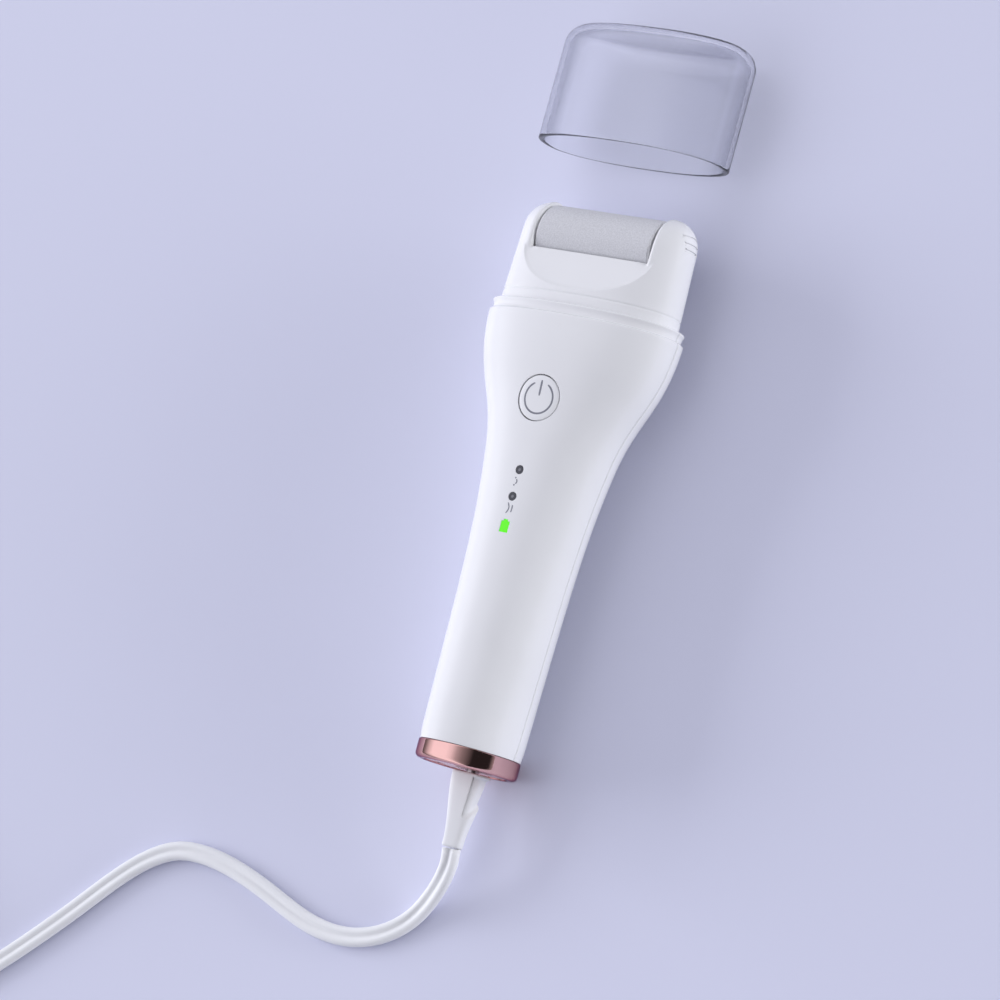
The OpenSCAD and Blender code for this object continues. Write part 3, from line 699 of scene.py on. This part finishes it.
SMILE_W, SMILE_TOP, SMILE_H = 20.8, 145.5, 14.0
STEP, STEP_H = 0.16, 0.25
FILLET = 1.8


def smile(x):
    """Height of the scooped face's lower edge at x."""
    return SMILE_TOP - SMILE_H * math.sqrt(max(1 - (abs(x) / SMILE_W) ** 2.45, 0))


def carve(x, z, outer, full_depth):
    """How far the surface at x and z lies under the plain oval. Below the roller a face is scooped out of
    it, and beside the roller the ears' inner edges are rounded. outer is the oval's depth at z and
    full_depth its depth at the scoop's top."""
    x = abs(x)
    low = smile(x)
    ear_edge = EAR_X + FILLET
    round_r = FILLET - 0.8 * ease((z - 149) / 7)
    ear = 0.0
    if x < ear_edge:
        inward = min(max(EAR_X + round_r - x, 0), round_r)
        ear = round_r - math.sqrt(round_r * round_r - inward * inward)
    drop = 0.0
    if z > low and x < SMILE_W:
        u = min((z - low) / max(EDGE_Z - low, 0.5), 1)
        step = STEP * (1 - math.exp(-(z - low) / STEP_H)) * (1 - u)
        drop = max(full_depth - EDGE_DEPTH, 0) * u * (1.4 - 0.4 * u) + step
    mix = ease((z - EDGE_Z + 1.5) / 3)
    return min(drop * (1 - mix) + ear * mix if x > EAR_X - 3 else drop, 0.8 * outer)


def head_ring(z, inset, k=420):
    a, f, r = head_size(z)
    a, f, r = a - inset, f - inset, r - inset
    _, edge_front, edge_rear = head_size(EDGE_Z)
    ring = []
    for i in range(k):
        t = 2 * math.pi * i / k
        s = spow(math.sin(t), 2 / FULL)
        x = a * spow(math.cos(t), 2 / FULL)
        depth = (f if s > 0 else r) * abs(s)
        edge = edge_front if s > 0 else edge_rear
        oval = edge * max(1 - (abs(x) / HEAD_W) ** FULL, 0) ** (1 / FULL)
        depth -= carve(x, z, depth, oval)
        ring.append((x, -math.copysign(depth, s), z))
    return ring


# Height and depth of the fine slot round the collar
SEAM_Z = 129.9
SEAM_LINE = [(129.6, 0), (129.7, 0.03), (129.95, 0.16), (130.1, 0.16), (130.3, 0)]


def head_rings():
    levels = [RIM_Z + 0.02 + 0.4 * i for i in range(11)] + [131.2 + 0.25 * i for i in range(70)]
    levels = [z for z in levels if z < HEAD_TOP - EAR_CORNER and abs(z - SEAM_Z) > 0.45]
    levels += [HEAD_TOP - EAR_CORNER + EAR_CORNER * math.sin(math.pi / 2 * i / 40) for i in range(41)]
    return [head_ring(z, d) for z, d in sorted([(z, 0) for z in levels] + SEAM_LINE)]


def groove(z, depth, sag, n=24):
    """A cutter for a fine slot round the right ear's flank, from a round start at this depth to the same
    behind."""
    path, radii = [], []
    for i in range(n + 1):
        d = depth * (1 - 2 * i / n)
        at = z + sag * math.sin(math.pi * i / n)
        a, f, r = head_size(at)
        side = a * (1 - (abs(d) / (f if d > 0 else r)) ** FULL) ** (1 / FULL)
        path.append((side - 0.1, -d, at))
        radii.append(0.5 if i < 2 or i > n - 2 else 0.33)
    return tube("cutter", path, radii, 10)


head = skin("head", head_rings(), angle=50)


def rim_oval(inset, *levels):
    """Sections of the rim's oval, drawn in by inset, at these heights."""
    return [section(RIM_W - inset, RIM_FRONT - inset, RIM_REAR - inset, FULL, z, 96) for z in levels]


spigot = skin("spigot", rim_oval(2.4, RIM_Z - 5, RIM_Z + 1))
union = head.modifiers.new("spigot", "BOOLEAN")
union.operation, union.solver, union.object = "UNION", "EXACT", spigot
bpy.context.view_layer.update()
joined = bpy.data.meshes.new_from_object(head.evaluated_get(bpy.context.evaluated_depsgraph_get()))
head.modifiers.clear()
head.data = joined
bpy.data.objects.remove(spigot)


def across(x0, x1, z, r, k=96):
    """A round cutter from side to side at height z."""
    return lathe("cutter", [(r, x0), (r, x1)], (0, z), "x", k, closed=False)


def ear_room(x):
    """Cutters for the room inside an ear, from x on."""
    return [block((x, -6, RIM_Z - 6), (x + 3.6, 6, ROLLER_Z)), across(x, x + 3.6, ROLLER_Z, 6.001)]


LOWER_Z = ROLLER_Z - 10.5 - 12
BORE_R = 2.4
cutters = [skin("cutter", rim_oval(4.2, RIM_Z - 6, RIM_Z + 8.5))]
cutters += [block((-EAR_X, -20, EDGE_Z), (EAR_X, 20, HEAD_TOP + 5))]
cutters += [across(-EAR_X, EAR_X, ROLLER_Z, ROLLER_R + 0.5)]
cutters += ear_room(EAR_X + 1.2) + ear_room(-EAR_X - 4.8)
cutters += [across(EAR_X + 2.1, EAR_X + 4.7, LOWER_Z, 7.3)]
cutters += [across(-EAR_X - 2, EAR_X + 2, ROLLER_Z, BORE_R, 48)]
cutters += [across(EAR_X + 4.7, EAR_X + 6.7, ROLLER_Z, BORE_R, 48)]
cutters += [groove(152.2, 4.5, 0.5), groove(150.4, 4.0, 0.2), groove(148.8, 3.5, 0.1)]
cut(head, cutters, angle=40)
piece(head, "handle", "head_white", "head_shell")

# ---------- roller ----------

SLEEVE_END = ROLLER_L / 2 - 0.4
SLEEVE_WALL, SLEEVE_SOFT, SLEEVE_STEPS = 1.4, 0.15, 40
outline = [(ROLLER_R - SLEEVE_WALL, -SLEEVE_END), (ROLLER_R - SLEEVE_SOFT, -SLEEVE_END)]
outline += [(ROLLER_R, -SLEEVE_END + SLEEVE_SOFT + (2 * SLEEVE_END - 2 * SLEEVE_SOFT) * i / SLEEVE_STEPS)
    for i in range(SLEEVE_STEPS + 1)]
outline += [(ROLLER_R - SLEEVE_SOFT, SLEEVE_END), (ROLLER_R - SLEEVE_WALL, SLEEVE_END)]
sleeve = lathe("roller_sleeve", outline, (0, ROLLER_Z), "x", 160, angle=40)
piece(sleeve, "roller", "grit", "abrasive_sleeve")


def end_disc(side):
    """A moulded end disc with a rounded rim, a dished face and a hub."""
    face = ROLLER_L / 2
    outline = [(1.52, face - 1.2), (ROLLER_R - 1.42, face - 1.2), (ROLLER_R - 1.42, SLEEVE_END)]
    outline += [(ROLLER_R - SLEEVE_SOFT, SLEEVE_END)]
    outline += fillet(ROLLER_R - 0.45, face - 0.3, 0.3, 0, 90, 6)
    outline += [(ROLLER_R - 1.6, face), (ROLLER_R - 1.9, face - 0.35), (4.2, face - 0.35), (3.9, face)]
    outline += [(1.52, face)]
    return lathe("disc", [(r, side * h) for r, h in outline], (0, ROLLER_Z), "x", 128, angle=40)


piece(join("roller_ends", [end_disc(-1), end_disc(1)], 40), "roller", "end_cap_grey", "roller_end_caps")

# ---------- cap ----------

CAP_CORNER, CAP_INNER_CORNER = 6.0, 4.6


def cap_ring(h, top, corner, inset, k=224):
    """Section of the cap's wall at height h over its lip. Near the top it rounds in over corner."""
    u = min(max((h - top + corner) / corner, 0), 1)
    pull = inset + corner * (1 - math.sqrt(1 - u * u))
    return section(RIM_W - pull, RIM_FRONT - pull, RIM_REAR - pull, FULL, CAP_Z + h, k)


def cap_rings():
    """From the middle of the inner top, down the inside, round the open lip and up the outside."""
    inner_top = CAP_H - CAP_WALL
    turns = [math.radians(a) for a in range(0, 91, 6)]

    def inner(h):
        return cap_ring(h, inner_top, CAP_INNER_CORNER, CAP_WALL)

    def outer(h, inset=0.0):
        return cap_ring(h, CAP_H, CAP_CORNER, inset)

    rings = [[(x * s, y * s, z) for x, y, z in inner(inner_top)] for s in (0.02, 0.3, 0.6, 0.85)]
    rings += [inner(inner_top - CAP_INNER_CORNER * (1 - math.cos(t))) for t in turns]
    rings += [inner(h) for h in (20, 12, 5, 1.0, 0.25)]
    rings += [outer(0.06, CAP_WALL - 0.2), outer(0.0, CAP_WALL - 0.45), outer(0.0, 0.45), outer(0.06, 0.2)]
    rings += [outer(h) for h in (0.25, 1, 5, 12, 20)]
    rings += [outer(CAP_H - CAP_CORNER * (1 - math.sin(t))) for t in turns]
    return rings + [[(x * s, y * s, z) for x, y, z in outer(CAP_H)] for s in (0.85, 0.6, 0.3, 0.02)]


cap = piece(skin("clear_cap", cap_rings()), "cap", "clear_cap", "cap")
cap.visible_shadow = False

# ---------- plug, USB plug and tie ----------

PLUG_TOP = -0.3


def plug_ring(t, inset=0.0, k=96):
    """Section of the plug's body at share t of its length, with its side recess near the socket."""
    w = 5.4 - 2.4 * ease(t * 1.05) - 0.15 * t - inset
    d = 3.1 - 1.25 * ease(t * 1.05) - inset
    z = PLUG_TOP - PLUG_L * t
    ring = []
    for i in range(k):
        a = 2 * math.pi * i / k
        x, y = w * spow(math.cos(a), 0.62), d * spow(math.sin(a), 0.62)
        dent = 1.15 * ease((0.52 - y * 0.05 - t) * 16) * ease((x - w * 0.5) * 1.6) * ease((t - 0.03) * 40)
        ring.append((x - dent, SOCKET_Y + y, z))
    return ring


plug_rings = [plug_ring(0, 0.5), plug_ring(0.004, 0.2), plug_ring(0.015, 0.05)]
plug_rings += [plug_ring(0.03 + 0.94 * i / 60) for i in range(61)]
plug_rings += [plug_ring(0.985, 0.06), plug_ring(0.996, 0.2), plug_ring(1.0, 0.45)]
piece(skin("charging_plug", plug_rings, angle=50), "handle", "plug_white", "plug_body")

# Where the cord enters the USB plug's housing, in mm in the row frame
USB = (-236.0, -142.0, 4.0)


def usb_ring(y, w, h, corner, k=64):
    """Section of the USB plug's housing at y from the cord's end, w and h being half its width and height."""
    ring = []
    for i in range(k):
        a = 2 * math.pi * i / k
        x, z = w * spow(math.cos(a), corner), h * spow(math.sin(a), corner)
        ring.append((USB[0] + x, USB[1] + y, USB[2] + z))
    return ring


def usb_block(x0, x1, y0, y1, z0, z1):
    """A box measured from where the cord enters the USB plug."""
    return block((USB[0] + x0, USB[1] + y0, USB[2] + z0), (USB[0] + x1, USB[1] + y1, USB[2] + z1), row)


USB_W, USB_H = 7.8, 3.9
usb_profile = [(0, 2.9, 1.7), (0.3, 3.15, 1.95), (2, 3.3, 2.1), (4, 4.2, 2.5), (6, 6.0, 3.2),
    (7.5, 7.3, 3.7), (8.5, 7.7, 3.85)]
usb_rings = [usb_ring(y, w, h, 0.6) for y, w, h in usb_profile]
for i in range(6):
    for y, w, h in ((0, USB_W, USB_H), (0.5, 7.55, 3.75), (1.0, 7.55, 3.75), (1.5, USB_W, USB_H)):
        usb_rings.append(usb_ring(10 + 2 * i + y, w, h, 0.45))
front_edge = ((23, 0), (29.5, 0), (29.9, 0.15), (30, 0.5))
usb_rings += [usb_ring(y, USB_W - e, USB_H - e, 0.4) for y, e in front_edge]
usb_body = skin("usb_body", usb_rings, row, angle=50)
cut(usb_body, [usb_block(-6.05, 6.05, 26, 31, -2.3, 2.3)], 40)
piece(usb_body, "handle", "plug_white", "usb_housing")

usb_sleeve = usb_block(-6, 6, 26, 42, -2.25, 2.25)
usb_sleeve.name = "usb_sleeve"
windows = [usb_block(x - 1.1, x + 1.1, 35, 37.4, -3, 3) for x in (-3, 3)]
cut(usb_sleeve, [usb_block(-5.7, 5.7, 27, 43, -1.95, 1.95)] + windows, 30)
piece(usb_sleeve, "handle", "steel", "usb_shell")

pins = [usb_block(x - 0.5, x + 0.5, 31, 40.5, -0.25, -0.08) for x in (-3.5, -1.1, 1.1, 3.5)]
piece(join("usb_pins", pins, 30), "handle", "brass")

# The middle of the turns at the place of the tie
TIE_AT = (COIL_AT[0], COIL_AT[1] + 30)


def tie_loop():
    """A flat band once round the coil's turns, with rounded corners."""
    w, low, high, r = 8.6, 0.12, 6.2, 1.6
    path = fillet(w - r, low + r, r, -90, 0, 6) + fillet(w - r, high - r, r, 0, 90, 6)
    path += fillet(-w + r, high - r, r, 90, 180, 6) + fillet(-w + r, low + r, r, 180, 270, 6)
    rings = []
    for i, (y, z) in enumerate(path):
        (ay, az), (by, bz) = path[i - 1], path[(i + 1) % len(path)]
        length = math.hypot(by - ay, bz - az)
        ny, nz = (bz - az) / length, -(by - ay) / length
        corners = ((-1, 0), (1, 0), (1, -0.5), (-1, -0.5))
        rings.append([(TIE_AT[0] + s * 2.6, TIE_AT[1] + y + ny * t, z + nz * t) for s, t in corners])
    rings.append(rings[0])
    return add("tie", *strip(rings, ends=False), row, angle=40)


def tie_twist(k=36):
    """The band's two ends twisted together and bent over the coil."""
    rings = []
    for i in range(k + 1):
        t = i / k
        x, z = TIE_AT[0] + 2 + 12 * t, 6.55 + 0.25 * math.sin(t * 9)
        a = t * 5 * math.pi
        c, s = math.cos(a), math.sin(a)
        rings.append([(x, TIE_AT[1] + u * c - v * s * 0.5, z + (u * s * 0.25 + v * c) * 0.9)
            for u, v in ((-1.1, -0.3), (1.1, -0.3), (1.1, 0.3), (-1.1, 0.3))])
    return skin("twist", rings, row, angle=60)


piece(join("coil_band", [tie_loop(), tie_twist()], 50), "handle", "cord_white", "coil_tie")

# ---------- floor and light ----------

bpy.ops.mesh.primitive_plane_add(size=8)
floor = bpy.context.object
floor.name = "floor"
floor.location.z = -0.0002
floor_look = material("floor", (0.70, 0.71, 0.86), 0.7, spread=0.01, scale=2, bump=0.01, bump_scale=200)
floor.data.materials.append(floor_look)


def softbox(name, at, aim, width, height, power, colour):
    """An area light that gives light but is never seen, not even as a reflection."""
    data = bpy.data.lights.new(name, "AREA")
    data.shape, data.size, data.size_y = "RECTANGLE", width, height
    data.energy, data.color = power, colour
    obj = bpy.data.objects.new(name, data)
    obj.location = at
    obj.rotation_euler = (Vector(aim) - Vector(at)).to_track_quat("-Z", "Y").to_euler()
    obj.visible_camera = obj.visible_glossy = obj.visible_transmission = False
    bpy.context.scene.collection.objects.link(obj)


COOL = (0.95, 0.96, 1.0)
softbox("key", (-4.6, 0.0, 1.38), (0, 0, 0), 3.4, 1.9, 184, COOL)
softbox("fill", (4.6, 0.38, 0.575), (0, 0, 0), 3.45, 0.96, 100, COOL)
softbox("strip", (4.0, 1.9, 0.7), (0, 0, 0.01), 3.0, 1.25, 75, (0.96, 0.97, 1.0))

# Level of the surrounding light by angle about the device's long axis, from -180 to 180 degrees, 0 overhead:
# a broad soft source on the left, and a dark screen on the right
SURROUND = [(-180, 0.4), (-91, 0.12), (-82, 0.35), (-68, 1.1), (-56, 1.65), (-20, 1.6), (-8, 1.3),
    (4, 0.68), (16, 0.38), (28, 0.2), (40, 0.03), (80, 0.03), (90, 0.5), (95, 0.9), (180, 0.6)]
PEAK, SKY_STRENGTH = 2.0, 0.67
SKY_TINT = (0.95, 0.96, 1.08)
world = bpy.data.worlds.new("studio")
bpy.context.scene.world = world
world.use_nodes = True
sky = world.node_tree
where = sky.nodes.new("ShaderNodeTexCoord")
split = sky.nodes.new("ShaderNodeSeparateXYZ")
angle = sky.nodes.new("ShaderNodeMath")
angle.operation = "ARCTAN2"
shift = sky.nodes.new("ShaderNodeMapRange")
shift.inputs["From Min"].default_value, shift.inputs["From Max"].default_value = -math.pi, math.pi
band = sky.nodes.new("ShaderNodeValToRGB")
stops = band.color_ramp.elements
while len(stops) < len(SURROUND):
    stops.new(0.5)
for stop, (degrees, level) in zip(stops, SURROUND):
    stop.position = degrees / 360 + 0.5
    stop.color = (*(level / PEAK * c for c in SKY_TINT), 1)
sky.links.new(where.outputs["Generated"], split.inputs["Vector"])
sky.links.new(split.outputs["X"], angle.inputs[0])
sky.links.new(split.outputs["Z"], angle.inputs[1])
sky.links.new(angle.outputs["Value"], shift.inputs["Value"])
sky.links.new(shift.outputs["Result"], band.inputs["Fac"])
sky.links.new(band.outputs["Color"], sky.nodes["Background"].inputs["Color"])
sky.nodes["Background"].inputs["Strength"].default_value = SKY_STRENGTH * PEAK
bpy.context.scene.view_settings.view_transform = "Standard"
